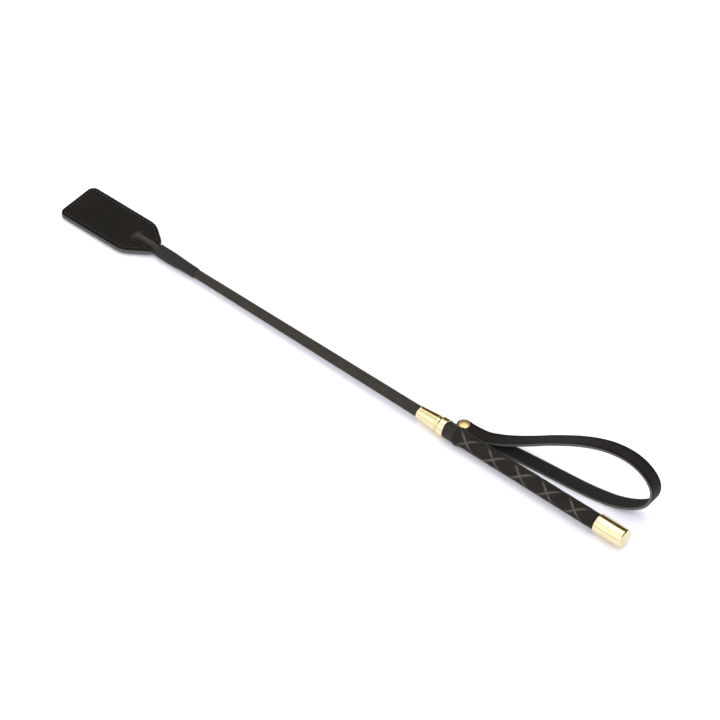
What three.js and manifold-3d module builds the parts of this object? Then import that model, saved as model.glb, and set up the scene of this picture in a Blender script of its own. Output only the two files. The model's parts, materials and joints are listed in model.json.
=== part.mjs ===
// A riding crop lying on a flat surface: a braided fibreglass shaft, a stitched two-ply leather flap,
// brass fittings, a leather grip and a riveted wrist strap. Millimetres, +Z up.
// Stations run along the crop's axis, from 0 at the flap's outer edge to BUTT at the cap's end face.

import * as THREE from 'three';
import { mergeVertices } from 'three/addons/utils/BufferGeometryUtils.js';
import Module from 'manifold-3d';

// ---- driving dimensions ------------------------------------------------------------------------

const GAP = 0.3;                    // clearance between touching pieces
const SIDES = 32;                   // facets round a turned piece

const BUTT = 652.4;                 // station of the butt end: the crop's whole length
const NECK = 107;                   // where the flap's leather enters the neck sleeve
const BRAID_START = 141;
const SLEEVE_END = 153;
const FERRULE = 422.7;              // front lip of the brass ferrule
const RING = 446.8;                 // front of the brass ring behind it
const COLLAR = 454.5;               // front of the strap's leather collar
const GRIP = 465.1;                 // front edge of the grip's leather
const CAP = 623.0;                  // front lip of the brass butt cap

const ROD_TIP_R = 2.2;
const ROD_NECK_R = 2.6;
const ROD_R = [3.35, 4.35];         // at the braid's start and at the ferrule, and on to the butt
const BRAID_R = [4.25, 5.35];
const SLEEVE_R = [6.2, 5.0];
const FERRULE_R = [6.6, 8.3];       // behind its front lip and at its back bead
const RING_R = 9.2;
const CORE_R = 6.0;
const COLLAR_R = 8.1;
const GRIP_R = [7.4, 7.7];
const GRIP_LIP_R = 9.0;
const CAP_R = 9.2;

const PLY = 2.4;                    // thickness of each flap ply
// The flap's two sides: half widths at the outer edge and at the shoulder, and the shoulder's station.
const FLAP_NEAR = { side: -1, outer: 24.3, inner: 22.9, shoulder: 78.6 };
const FLAP_FAR = { side: 1, outer: 22.6, inner: 23.3, shoulder: 82 };
const FLAP_CORNER_R = 7;
const SEAM_Z = -1.5;                // the face between the plies, below the rod's axis
const NECK_HALF = 5.4;
const HINGE = 71;                   // where the flap bends, just past the rod's tip
const POCKET_TIP = 79;              // station of the rod's tip, inside the flap
const SEAM_INSET = 3.6;
const THREAD_R = 0.4;
const TAIL_R = 4.6;
const TAIL_END = 137;

const RIVET = { x: 460.7, y: 15.7, headR: 5.1, postR: 1.7, stemR: 0.65 };
const STACK = { base: 0.25, head: 0.4, tail: 1.8, tab: 1.1 };    // heights of the riveted pile
const STRAP_WIDTH = 13.5;
const STRAP_THICK = 2.6;
const STRAP_STEPS = 96;

// The axis climbs from the neck sleeve to the ring, because both rest on the surface.
const SLEEVE_REST = NECK + 8;
const RING_REST = RING + 3.1;
const PITCH = Math.asin((RING_R - SLEEVE_R[0]) / (RING_REST - SLEEVE_REST));
const axisHeight = (station) => SLEEVE_R[0] + (station - SLEEVE_REST) * Math.sin(PITCH);

// ---- geometry helpers --------------------------------------------------------------------------

const wasm = await Module();
wasm.setup();

function toSolid(geometry) {
  const bare = geometry.index ? geometry.toNonIndexed() : geometry.clone();
  bare.deleteAttribute('normal');
  bare.deleteAttribute('uv');
  const merged = mergeVertices(bare, 1e-4);
  return new wasm.Manifold(new wasm.Mesh({
    numProp: 3,
    vertProperties: Float32Array.from(merged.attributes.position.array),
    triVerts: Uint32Array.from(merged.index.array),
  }));
}

function toGeometry(solid) {
  const mesh = solid.getMesh();
  const geometry = new THREE.BufferGeometry();
  geometry.setAttribute('position', new THREE.BufferAttribute(mesh.vertProperties, 3));
  geometry.setIndex(new THREE.BufferAttribute(mesh.triVerts, 1));
  return geometry;
}

// A body turned about the X axis. The profile lists [station, radius] pairs, from the front end back
// along the outside; bore lists the inside, also from the front end back.
function turned(profile, bore = null, sides = SIDES) {
  const points = profile.map(([x, r]) => new THREE.Vector2(r, x));
  if (bore) {
    points.push(...bore.slice().reverse().map(([x, r]) => new THREE.Vector2(r, x)));
    points.push(points[0].clone());
  } else {
    points.unshift(new THREE.Vector2(0, profile[0][0]));
    points.push(new THREE.Vector2(0, profile.at(-1)[0]));
  }
  return new THREE.LatheGeometry(points, sides).rotateZ(-Math.PI / 2);
}

// The same, about a vertical axis through (x, y); the profile lists [height, radius] pairs.
function turnedUpright(x, y, profile, bore = null) {
  return turned(profile, bore, 24).rotateY(-Math.PI / 2).translate(x, y, 0);
}

// A flat plate: an outline in the XY plane, from height low to high.
function plate(shape, low, high, curveSegments = 8) {
  const options = { depth: high - low, bevelEnabled: false, curveSegments };
  return new THREE.ExtrudeGeometry(shape, options).translate(0, 0, low);
}

// A prism along Y through an outline of [x, z] points.
function crossPrism(points, halfWidth) {
  const shape = new THREE.Shape(points.map(([x, z]) => new THREE.Vector2(x, z)));
  const options = { depth: 2 * halfWidth, bevelEnabled: false };
  return new THREE.ExtrudeGeometry(shape, options).rotateX(Math.PI / 2).translate(0, halfWidth, 0);
}

// A round cord along a flat path of lines and arcs.
function cordAlong(path, radius, steps) {
  const section = new THREE.Shape().absarc(0, 0, radius, 0, 2 * Math.PI);
  return new THREE.ExtrudeGeometry(section, { steps, curveSegments: 4, extrudePath: path });
}

function block(low, high) {
  const size = high.map((v, i) => v - low[i]);
  const centre = high.map((v, i) => (v + low[i]) / 2);
  return new THREE.BoxGeometry(...size).translate(...centre);
}

// ---- the shaft ---------------------------------------------------------------------------------

// The rod's radius: ground down for the flap's pocket, then one long taper to the ferrule.
const ROD = [
  [POCKET_TIP, 1.2], [POCKET_TIP + 1, ROD_TIP_R], [NECK - 6, ROD_TIP_R], [NECK, ROD_NECK_R],
  [BRAID_START - 8, ROD_NECK_R], [BRAID_START, ROD_R[0]], [FERRULE, ROD_R[1]], [BUTT - 8, ROD_R[1]],
];

const grown = (profile, by) => profile.map(([x, r]) => [x, r + by]);

function coreRod() {
  return turned(ROD);
}

function shaftBraid() {
  const end = RING - 4;
  const outside = [[BRAID_START, BRAID_R[0] - 0.25], [BRAID_START + 1, BRAID_R[0]], [FERRULE, BRAID_R[1]],
    [end, BRAID_R[1]]];
  const inside = [[BRAID_START, ROD_R[0] + GAP], [FERRULE, ROD_R[1] + GAP], [end, ROD_R[1] + GAP]];
  return turned(outside, inside);
}

function neckSleeve() {
  const outside = [[NECK, SLEEVE_R[0] - 0.3], [NECK + 0.6, SLEEVE_R[0]], [NECK + 16, SLEEVE_R[0]],
    [SLEEVE_END - 14, 5.4], [SLEEVE_END, SLEEVE_R[1]]];
  const inside = [[NECK, 5.7], [NECK + 16, 5.7], [SLEEVE_END - 4, 4.6], [SLEEVE_END, 4.6]];
  return turned(outside, inside);
}

function tailWhipping() {
  return turned([[NECK + 2, 5.4], [NECK + 15, 5.4]], [[NECK + 2, TAIL_R + GAP], [NECK + 15, TAIL_R + GAP]]);
}

// ---- the flap ----------------------------------------------------------------------------------

// The flap's outline: rounded outer corners, nearly straight sides, and shoulders that run in straight
// lines to the neck. Its far side is a little fuller than its near side, as it was cut by hand.
function flapOutline() {
  const r = FLAP_CORNER_R;
  const shape = new THREE.Shape();
  const shoulderPoints = ({ side, inner, shoulder }) => [
    [NECK - 1, NECK_HALF], [NECK - 5, NECK_HALF + 1.2], [NECK - 9, NECK_HALF + 4.6],
    [shoulder + 6, inner - 4], [shoulder, inner], [shoulder - 8, inner],
  ].map(([x, y]) => [x, side * y]);
  const near = shoulderPoints(FLAP_NEAR);
  const far = shoulderPoints(FLAP_FAR).reverse();
  shape.moveTo(...near[0]);
  shape.quadraticCurveTo(...near[1], ...near[2]);
  shape.lineTo(...near[3]);
  shape.quadraticCurveTo(...near[4], ...near[5]);
  shape.lineTo(r, -FLAP_NEAR.outer);
  shape.absarc(r, -FLAP_NEAR.outer + r, r, -Math.PI / 2, -Math.PI, true);
  shape.absarc(r, FLAP_FAR.outer - r, r, Math.PI, Math.PI / 2, true);
  shape.lineTo(...far[0]);
  shape.quadraticCurveTo(...far[1], ...far[2]);
  shape.lineTo(...far[3]);
  shape.quadraticCurveTo(...far[4], ...far[5]);
  shape.closePath();
  return shape;
}

// One side of the bend: everything ahead of it (side -1) or behind it (side +1). The faces lean away
// from each other above and below the face between the plies, so that the flap can bend both ways.
function bendSide(side) {
  const near = HINGE + side * 0.35;
  const lean = 12 * Math.tan(THREE.MathUtils.degToRad(16));
  const far = HINGE + side * 200;
  const points = [[near, SEAM_Z], [near + side * lean, SEAM_Z + 12], [far, SEAM_Z + 12],
    [far, SEAM_Z - 12], [near + side * lean, SEAM_Z - 12]];
  return crossPrism(side > 0 ? points.reverse() : points, 40);
}

// The line of the edge seam on the part of the flap ahead of the bend.
function edgeSeamPath() {
  const near = SEAM_INSET - FLAP_NEAR.inner;
  const far = FLAP_FAR.outer - SEAM_INSET;
  const r = 4;
  const start = HINGE - 4;
  const path = new THREE.CurvePath();
  const at = (x, v) => new THREE.Vector3(x, v, 0);
  const corner = (x, v, from) => {
    const points = [0, 1, 2, 3, 4].map((i) => {
      const a = from - (i * Math.PI) / 8;
      return at(x + r * Math.cos(a), v + r * Math.sin(a));
    });
    return new THREE.CatmullRomCurve3(points);
  };
  path.add(new THREE.LineCurve3(at(start, near), at(SEAM_INSET + r, near)));
  path.add(corner(SEAM_INSET + r, near + r, -Math.PI / 2));
  path.add(new THREE.LineCurve3(at(SEAM_INSET, near + r), at(SEAM_INSET, far - r)));
  path.add(corner(SEAM_INSET + r, far - r, Math.PI));
  path.add(new THREE.LineCurve3(at(SEAM_INSET + r, far), at(start, far)));
  return path;
}

// The line of the seam that holds the rod's tip: a U round the pocket.
function pocketSeamPath() {
  const r = 6.2;
  const start = NECK - 8;
  const centre = POCKET_TIP + 1;
  const path = new THREE.CurvePath();
  const points = Array.from({ length: 9 }, (_, i) => {
    const a = -Math.PI / 2 - (i * Math.PI) / 8;
    return new THREE.Vector3(centre + r * Math.cos(a), r * Math.sin(a), 0);
  });
  path.add(new THREE.LineCurve3(new THREE.Vector3(start, -r, 0), points[0]));
  path.add(new THREE.CatmullRomCurve3(points));
  path.add(new THREE.LineCurve3(points.at(-1), new THREE.Vector3(start, r, 0)));
  return path;
}

const SEAM_STEPS = 48;
const THREAD_DEPTH = THREAD_R - 0.02;               // the thread lies flush in its groove
const TOP_FACE = SEAM_Z + PLY;
const BOTTOM_FACE = SEAM_Z - PLY;

function seamThread(path, face) {
  const depth = face > SEAM_Z ? -THREAD_DEPTH : THREAD_DEPTH;
  return cordAlong(path, THREAD_R, SEAM_STEPS).translate(0, 0, face + depth);
}

function seamGroove(path, face) {
  const depth = face > SEAM_Z ? -THREAD_DEPTH : THREAD_DEPTH;
  return toSolid(cordAlong(path, THREAD_R + GAP, SEAM_STEPS).translate(0, 0, face + depth));
}

// One ply with its bulge over the rod's tip and its tail along the rod, cut away round the rod.
function flapPly(upper) {
  const low = upper ? SEAM_Z + GAP / 2 : BOTTOM_FACE;
  const high = upper ? TOP_FACE : SEAM_Z - GAP / 2;
  const bulgeR = ROD_TIP_R + PLY - 0.3;
  const tail = turned([[NECK - 4, TAIL_R], [NECK + 14, TAIL_R], [TAIL_END, ROD_NECK_R + 1.1]]);
  let ply = toSolid(plate(flapOutline(), low, high)).add(toSolid(tail));
  if (upper) {
    const bulge = [[POCKET_TIP - 3, 1.6], [POCKET_TIP - 1, 3.2], [POCKET_TIP + 3, bulgeR],
      [NECK - 2, bulgeR]];
    ply = ply.add(toSolid(turned(bulge)));
  }
  const kept = upper ? block([-1, -40, low], [TAIL_END + 1, 40, 20])
    : block([-1, -40, -20], [TAIL_END + 1, 40, high]);
  const face = upper ? TOP_FACE : BOTTOM_FACE;
  return ply.intersect(toSolid(kept)).subtract(toSolid(turned(grown(ROD, GAP))))
    .subtract(seamGroove(edgeSeamPath(), face)).subtract(seamGroove(pocketSeamPath(), face));
}

function flapPiece(upper, side) {
  return toGeometry(flapPly(upper).intersect(toSolid(bendSide(side))));
}

// ---- the handle --------------------------------------------------------------------------------

function ferrule() {
  const end = RING - GAP;
  const [front, back] = FERRULE_R;
  const outside = [[FERRULE, front - 0.5], [FERRULE + 0.5, front - 0.1], [FERRULE + 1.4, front],
    [end - 2.6, back], [end - 2.2, back], [end - 1.8, back - 0.5], [end - 0.4, back - 0.5], [end, back]];
  return turned(outside, [[FERRULE, BRAID_R[1] + 0.4], [end, BRAID_R[1] + 0.4]]);
}

// A round-edged bead: arcs on its outer corners.
function ferruleRing() {
  const length = COLLAR - GAP - RING;
  const r = 1.6;
  const arc = (x, from) => [0, 1, 2, 3].map((i) => {
    const a = from - (i * Math.PI) / 6;
    return [x + r * Math.cos(a), RING_R - r + r * Math.sin(a)];
  });
  const outside = [...arc(RING + r, Math.PI), ...arc(RING + length - r, Math.PI / 2)];
  const inside = [[RING, CORE_R + GAP], [RING + length, CORE_R + GAP]];
  return turned(outside, inside);
}

function gripCore() {
  const inside = [[RING, ROD_R[1] + GAP], [BUTT - 6, ROD_R[1] + GAP]];
  return turned([[RING, CORE_R], [BUTT - 6, CORE_R]], inside);
}

function gripLeather() {
  const end = CAP - GAP;
  const lip = [[GRIP, 7.9], [GRIP + 1, 8.3], [GRIP + 2.2, 8.8], [GRIP + 3.4, GRIP_LIP_R],
    [GRIP + 4.8, 8.7], [GRIP + 7, 7.9], [GRIP + 10, GRIP_R[0]]];
  const outside = [...lip, [end - 1, GRIP_R[1]], [end, GRIP_R[1] - 0.4]];
  return turned(outside, [[GRIP, CORE_R + GAP], [end, CORE_R + GAP]]);
}

function buttCap() {
  const r = 2.2;
  const rim = [0, 1, 2, 3, 4].map((i) => {
    const a = Math.PI / 2 - (i * Math.PI) / 8;
    return [BUTT - r + r * Math.cos(a), CAP_R - r + r * Math.sin(a)];
  });
  const outside = [[CAP, CAP_R - 0.7], [CAP + 0.6, CAP_R - 0.2], [CAP + 1.5, CAP_R], ...rim, [BUTT, 0]];
  const inside = [[CAP, CORE_R + GAP], [BUTT - 4, CORE_R + GAP], [BUTT - 4, 0]];
  const points = [...outside, ...inside.reverse()].map(([x, radius]) => new THREE.Vector2(radius, x));
  points.push(points[0].clone());
  return new THREE.LatheGeometry(points, SIDES).rotateZ(-Math.PI / 2);
}

// ---- the wrist strap and its fixing ------------------------------------------------------------

// Heights of the riveted pile: the rivet's base, the strap's lower tail, the collar's tab, the
// strap's upper tail, and the rivet's cap.
const LOWER_TAIL = STACK.base + STACK.head + GAP;
const TAB = LOWER_TAIL + STACK.tail + GAP;
const UPPER_TAIL = TAB + STACK.tab + GAP;
const RIVET_CAP = UPPER_TAIL + STACK.tail + GAP;

// A leather band round the core, with a rounded tab for the rivet on the far side.
function strapCollar() {
  const end = GRIP - GAP;
  const middle = axisHeight((COLLAR + end) / 2);
  const ring = turned([[COLLAR, COLLAR_R], [end, COLLAR_R]], [[COLLAR, CORE_R + GAP], [end, CORE_R + GAP]]);
  const lobe = STRAP_WIDTH / 2 - 0.6;
  const outline = new THREE.Shape();
  outline.moveTo(COLLAR + 0.2, 4.6);
  outline.lineTo(end - 0.2, 4.6);
  outline.lineTo(end - 0.2, 9.6);
  outline.lineTo(RIVET.x + lobe, RIVET.y - 1.5);
  outline.absarc(RIVET.x, RIVET.y, lobe, 0, Math.PI, false);
  outline.lineTo(COLLAR + 0.2, RIVET.y - 4);
  outline.closePath();
  const hole = toSolid(turnedUpright(RIVET.x, RIVET.y, [[-5, RIVET.postR + GAP], [20, RIVET.postR + GAP]]));
  const tab = toSolid(plate(outline, TAB, TAB + STACK.tab));
  return toGeometry(toSolid(ring.translate(0, 0, middle)).add(tab).subtract(hole));
}

// The strap's route: its upper tail, the loop over the hand and back, and its lower tail.
const STRAP_ROUTE = [
  [RIVET.x - 6.75, RIVET.y, UPPER_TAIL + 0.9], [RIVET.x, RIVET.y, UPPER_TAIL + 0.9], [472, 15.8, 5.2],
  [484, 17.3, 5.2], [498, 21.6, 8.0], [512, 26.3, 13.0], [526, 30.7, 19.6], [540, 34.4, 27.6],
  [555, 36.9, 36.4], [570, 38.4, 45.3], [586, 39.3, 53.6], [601, 40.0, 59.4], [615, 40.4, 62.2],
  [627, 40.5, 62.3], [638, 40.6, 58.8], [646.5, 40.6, 52.4], [651.3, 40.6, 44.0], [652, 40.5, 34.5],
  [649, 40.3, 24.0], [641.5, 39.3, 14.6], [630, 37.2, 7.6], [616, 34.6, 3.2], [601, 32.0, 1.7],
  [584, 29.4, 1.5], [553, 26.2, 1.5], [520, 22.8, 1.5], [491, 18.6, 1.6], [472, 15.9, 1.8],
  [RIVET.x, RIVET.y, LOWER_TAIL + 0.9], [RIVET.x - 6.75, RIVET.y, LOWER_TAIL + 0.9],
];

// A flat strip bent along the route. Its width stays as level as the route lets it, and its tails are
// skived thinner for the rivet, rounded about it and punched.
function wristStrap() {
  const route = new THREE.CatmullRomCurve3(STRAP_ROUTE.map((p) => new THREE.Vector3(...p)));
  route.arcLengthDivisions = 2000;
  const length = route.getLength();
  const strip = new THREE.BoxGeometry(length, STRAP_WIDTH, 1, STRAP_STEPS, 1, 1);
  const position = strip.attributes.position;
  const level = new THREE.Vector3(0, 1, 0);
  for (let i = 0; i < position.count; i += 1) {
    const along = position.getX(i) + length / 2;
    const u = THREE.MathUtils.clamp(along / length, 0, 1);
    const tangent = route.getTangentAt(u);
    const across = level.clone().addScaledVector(tangent, -tangent.dot(level)).normalize();
    const out = tangent.clone().cross(across).normalize();
    const fromTail = Math.min(along, length - along);
    const thick = THREE.MathUtils.lerp(STACK.tail, STRAP_THICK, THREE.MathUtils.smoothstep(fromTail, 14, 26));
    const point = route.getPointAt(u).addScaledVector(across, position.getY(i))
      .addScaledVector(out, position.getZ(i) * thick);
    position.setXYZ(i, point.x, point.y, point.z);
  }
  const { x, y } = RIVET;
  const half = STRAP_WIDTH / 2;
  const endRound = toSolid(turnedUpright(x, y, [[-5, half], [20, half]]));
  const corners = toSolid(block([x - 12, y - 10, -5], [x, y + 10, 20])).subtract(endRound);
  const hole = toSolid(turnedUpright(x, y, [[-5, RIVET.postR + GAP], [20, RIVET.postR + GAP]]));
  return toGeometry(toSolid(strip).subtract(corners).subtract(hole));
}

function rivetBase() {
  const top = UPPER_TAIL + STACK.tail;
  const head = STACK.base + STACK.head;
  const outside = [[STACK.base, RIVET.headR - 0.3], [head - 0.2, RIVET.headR], [head, RIVET.headR - 0.2],
    [head, RIVET.postR], [top, RIVET.postR]];
  const inside = [[STACK.base, RIVET.stemR + GAP], [top, RIVET.stemR + GAP]];
  return turnedUpright(RIVET.x, RIVET.y, outside, inside);
}

function rivetCap() {
  const profile = [[STACK.base + 0.8, RIVET.stemR], [RIVET_CAP, RIVET.stemR], [RIVET_CAP, RIVET.headR - 0.2],
    [RIVET_CAP + 0.2, RIVET.headR], [RIVET_CAP + 0.7, RIVET.headR - 0.2], [RIVET_CAP + 1.0, RIVET.headR - 1.2],
    [RIVET_CAP + 1.15, RIVET.headR - 3]];
  return turnedUpright(RIVET.x, RIVET.y, profile);
}

// ---- the assembly ------------------------------------------------------------------------------

const FINISHES = {
  leather: { color: 0x241f1c, roughness: 0.6, metalness: 0 },
  strap: { color: 0x1d1916, roughness: 0.45, metalness: 0 },
  sleeve: { color: 0x1c1d1b, roughness: 0.7, metalness: 0 },
  braid: { color: 0x26221a, roughness: 0.8, metalness: 0 },
  thread: { color: 0x15120f, roughness: 0.9, metalness: 0 },
  rod: { color: 0xb9b58e, roughness: 0.5, metalness: 0 },
  core: { color: 0x8a6a45, roughness: 0.7, metalness: 0 },
  brass: { color: 0xd8b45a, roughness: 0.2, metalness: 1 },
};

const model = new THREE.Group();
const stick = new THREE.Group();            // the pieces on the crop's sloping axis
const level = new THREE.Group();            // the pieces that lie square to the surface
model.add(stick, level);

function put(group, name, geometry, finish) {
  const mesh = new THREE.Mesh(geometry, new THREE.MeshStandardMaterial(FINISHES[finish]));
  mesh.name = name;
  group.add(mesh);
}

put(stick, 'core_rod', coreRod(), 'rod');
put(stick, 'shaft_braid', shaftBraid(), 'braid');
put(stick, 'neck_sleeve', neckSleeve(), 'sleeve');
put(stick, 'tail_whipping', tailWhipping(), 'thread');
for (const [layer, upper] of [['top', true], ['bottom', false]]) {
  const face = upper ? TOP_FACE : BOTTOM_FACE;
  put(stick, `flap_${layer}_blade`, flapPiece(upper, -1), 'leather');
  put(stick, `flap_${layer}_root`, flapPiece(upper, 1), 'leather');
  put(stick, `edge_seam_${layer}_thread`, seamThread(edgeSeamPath(), face), 'thread');
  put(stick, `pocket_seam_${layer}_thread`, seamThread(pocketSeamPath(), face), 'thread');
}
put(stick, 'ferrule', ferrule(), 'brass');
put(stick, 'ferrule_ring', ferruleRing(), 'brass');
put(stick, 'grip_core', gripCore(), 'core');
put(stick, 'grip_leather', gripLeather(), 'leather');
put(stick, 'butt_cap', buttCap(), 'brass');
put(level, 'strap_collar', strapCollar(), 'leather');
put(level, 'wrist_strap', wristStrap(), 'strap');
put(level, 'rivet_base', rivetBase(), 'brass');
put(level, 'rivet_cap', rivetCap(), 'brass');

stick.rotation.y = -PITCH;
stick.position.z = axisHeight(0);

// The origin goes to the centre of the whole crop's base.
model.updateMatrixWorld(true);
const bounds = new THREE.Box3().setFromObject(model, true);
const centre = bounds.getCenter(new THREE.Vector3());
model.position.set(-centre.x, -centre.y, -bounds.min.z);
model.updateMatrixWorld(true);

export default model;
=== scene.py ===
"""A riding crop: braided shaft, stitched leather flap, brass fittings, leather grip and wrist strap.

Shapes are worked out in millimetres along the crop's own axis, where station 0 is the flap's outer edge,
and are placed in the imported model's frame, in metres.
"""

import json
import math

import bpy
import numpy as np
from bpy.props import FloatProperty, FloatVectorProperty, IntProperty, PointerProperty
from bpy.types import Operator, Panel, PropertyGroup
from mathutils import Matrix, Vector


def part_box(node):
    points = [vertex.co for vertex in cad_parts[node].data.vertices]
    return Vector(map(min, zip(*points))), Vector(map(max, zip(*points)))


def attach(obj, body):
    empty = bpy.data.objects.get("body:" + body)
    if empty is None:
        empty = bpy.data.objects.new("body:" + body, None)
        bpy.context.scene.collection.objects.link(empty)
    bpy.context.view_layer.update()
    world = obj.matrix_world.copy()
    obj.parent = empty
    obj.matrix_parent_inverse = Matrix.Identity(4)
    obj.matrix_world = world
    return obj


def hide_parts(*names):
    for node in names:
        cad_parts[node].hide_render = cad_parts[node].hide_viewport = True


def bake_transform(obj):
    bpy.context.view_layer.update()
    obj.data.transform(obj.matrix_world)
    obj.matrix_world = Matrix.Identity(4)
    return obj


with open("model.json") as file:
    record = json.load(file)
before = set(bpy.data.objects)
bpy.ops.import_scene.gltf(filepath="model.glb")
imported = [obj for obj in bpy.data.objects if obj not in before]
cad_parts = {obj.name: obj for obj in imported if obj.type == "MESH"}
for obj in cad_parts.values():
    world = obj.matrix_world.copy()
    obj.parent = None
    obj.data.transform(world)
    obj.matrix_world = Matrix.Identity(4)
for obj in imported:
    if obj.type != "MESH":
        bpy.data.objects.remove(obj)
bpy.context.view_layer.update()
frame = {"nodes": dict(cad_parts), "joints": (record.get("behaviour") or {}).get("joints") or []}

bl_info = {
    "name": "Riding Crop",
    "version": (1, 0, 0),
    "blender": (4, 5, 0),
    "location": "View3D > Sidebar > Crop",
    "description": "Builds a riding crop round its packed frame",
    "category": "Add Mesh",
}

MM = 0.001


# ---- places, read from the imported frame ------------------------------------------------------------


def corners(node):
    """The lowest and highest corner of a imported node, as arrays in metres."""
    low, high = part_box(node)
    return np.array(low), np.array(high)


def centre(node):
    low, high = corners(node)
    return (low + high) / 2


def radius(node):
    """Half the width of a round node, in millimetres."""
    low, high = corners(node)
    return (high[1] - low[1]) / 2 / MM


class CropAxis:
    """The crop's long axis, through the middles of two plain round pieces on it."""

    def __init__(self):
        front, back = centre("tail_whipping"), centre("grip_core")
        self.along = (back - front) / np.linalg.norm(back - front)
        self.across = np.array([0.0, 1.0, 0.0])
        self.up = np.cross(self.along, self.across)
        outer_edge = corners("flap_top_blade")[0][0]
        self.start = front + self.along * (outer_edge - front[0]) / self.along[0]

    def place(self, station, y, z):
        """Points at a station, y towards the strap and z above the axis, from millimetres to the frame."""
        station, y, z = np.broadcast_arrays(station, y, z)
        offset = station[..., None] * self.along + y[..., None] * self.across + z[..., None] * self.up
        return self.start + MM * offset

    def station(self, x):
        return (x - self.start[0]) / self.along[0] / MM

    def span(self, node):
        """The first and last station of a node."""
        low, high = corners(node)
        return self.station(low[0]), self.station(high[0])


AXIS = CropAxis()
HINGE = AXIS.station(next(j for j in frame["joints"] if j["name"] == "flap_flex")["pos_m"][0])


# ---- sizes and colours a user would change ---------------------------------------------------------


class CropFlapSizes(PropertyGroup):
    """Sizes of the leather flap, in millimetres."""

    neck_half: FloatProperty(name="Neck half width", description="Half width where the sleeve starts",
                             default=5.4)
    near_side: FloatVectorProperty(name="Near side", default=(24.3, 22.9, 79.1),
                                   description="Half widths at the edge and shoulder, the shoulder's station")
    far_side: FloatVectorProperty(name="Far side", default=(22.6, 23.3, 81.8),
                                  description="The same on the strap's side, which was cut a little fuller")
    shoulder_slope: FloatProperty(name="Shoulder slope", description="How fast the shoulders close",
                                  default=0.715)
    corner: FloatProperty(name="Corner radius", description="Radius of the outer corners", default=7.0)
    ply: FloatProperty(name="Ply", description="Thickness of each leather ply", default=2.4)
    interface: FloatProperty(name="Interface", description="Height of the face between the plies",
                             default=-1.5)
    hump: FloatProperty(name="Hump", description="Height of the leather over the rod's tip", default=4.4)
    hump_half: FloatProperty(name="Hump half width", description="Half width of that hump", default=8.3)
    pocket_half: FloatProperty(name="Pocket half width", description="Half width of the pocket's seam",
                               default=6.7)
    inset: FloatProperty(name="Seam inset", description="From the cut edge to the seam", default=3.6)
    edge_stitch: FloatProperty(name="Edge stitch", description="Length of a stitch round the edge",
                               default=4.3)
    pocket_stitch: FloatProperty(name="Pocket stitch", description="Length of a stitch at the pocket",
                                 default=2.75)
    thread: FloatProperty(name="Thread radius", description="Radius of the sewing thread", default=0.45)


class CropHandleSizes(PropertyGroup):
    """Sizes of the shaft's cover, the grip and the strap, in millimetres."""

    carriers: IntProperty(name="Carriers", description="Strands of the braid each way", default=16, min=4)
    braid_angle: FloatProperty(name="Braid angle", description="Strands to the axis", default=32.0)
    braid_relief: FloatProperty(name="Braid relief", description="Height of the braid's strands",
                                default=0.22)
    lattice_pitch: FloatProperty(name="Lattice pitch", description="One turn of a crease line", default=60.4)
    lattice_start: FloatProperty(name="Lattice start", description="Station of the first crossing",
                                 default=479.8)
    lattice_angle: FloatProperty(name="Lattice angle", description="Height of the crossings, in degrees",
                                 default=41.0)
    crease_depth: FloatProperty(name="Crease depth", description="Depth of a crease line", default=0.3)
    crease_width: FloatProperty(name="Crease width", description="Half width of a crease line", default=0.9)
    strap_width: FloatProperty(name="Strap width", description="Width of the wrist strap", default=13.5)
    strap_thickness: FloatProperty(name="Strap thickness", description="Thickness of its leather",
                                   default=2.6)
    tail_thickness: FloatProperty(name="Tail thickness", description="Thickness of its skived ends",
                                  default=1.8)


class CropColours(PropertyGroup):
    """Base colours of the finishes."""

    flap: FloatVectorProperty(name="Flap", description="Flap leather", subtype="COLOR",
                              default=(0.0090, 0.0070, 0.0053))
    grip: FloatVectorProperty(name="Grip", description="Grip leather", subtype="COLOR",
                              default=(0.017, 0.013, 0.010))
    crease: FloatVectorProperty(name="Crease", description="Creased leather", subtype="COLOR",
                                default=(0.105, 0.092, 0.077))
    strap: FloatVectorProperty(name="Strap", description="Strap leather", subtype="COLOR",
                               default=(0.0085, 0.0067, 0.0056))
    flesh: FloatVectorProperty(name="Flesh side", description="Inner face of the strap", subtype="COLOR",
                               default=(0.016, 0.018, 0.014))
    edge: FloatVectorProperty(name="Cut edge", description="Cut edge of the leather", subtype="COLOR",
                              default=(0.11, 0.105, 0.098))
    sleeve: FloatVectorProperty(name="Sleeve", description="Neck sleeve", subtype="COLOR",
                                default=(0.016, 0.017, 0.0145))
    braid: FloatVectorProperty(name="Braid", description="Braided cover", subtype="COLOR",
                               default=(0.023, 0.0195, 0.0145))
    thread: FloatVectorProperty(name="Thread", description="Sewing thread", subtype="COLOR",
                                default=(0.026, 0.023, 0.019))
    brass: FloatVectorProperty(name="Brass", description="Polished brass", subtype="COLOR",
                               default=(0.75, 0.65, 0.395))
    rivet: FloatVectorProperty(name="Rivet", description="Brushed rivet brass", subtype="COLOR",
                               default=(0.70, 0.50, 0.25))


class CropSettings(PropertyGroup):
    """Everything a user would change."""

    flap: PointerProperty(type=CropFlapSizes)
    handle: PointerProperty(type=CropHandleSizes)
    colours: PointerProperty(type=CropColours)


# ---- meshes ----------------------------------------------------------------------------------------


def grid_faces(rows, columns, closed_rows=False, closed_columns=False):
    """Quads of a grid of rows by columns of points, closing on itself either way."""
    i = np.arange(rows if closed_rows else rows - 1)[:, None]
    j = np.arange(columns if closed_columns else columns - 1)[None, :]
    a, b = i * columns, ((i + 1) % rows) * columns
    c = (j + 1) % columns
    return np.stack([a + j, b + j, b + c, a + c], axis=-1).reshape(-1, 4)


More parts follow.
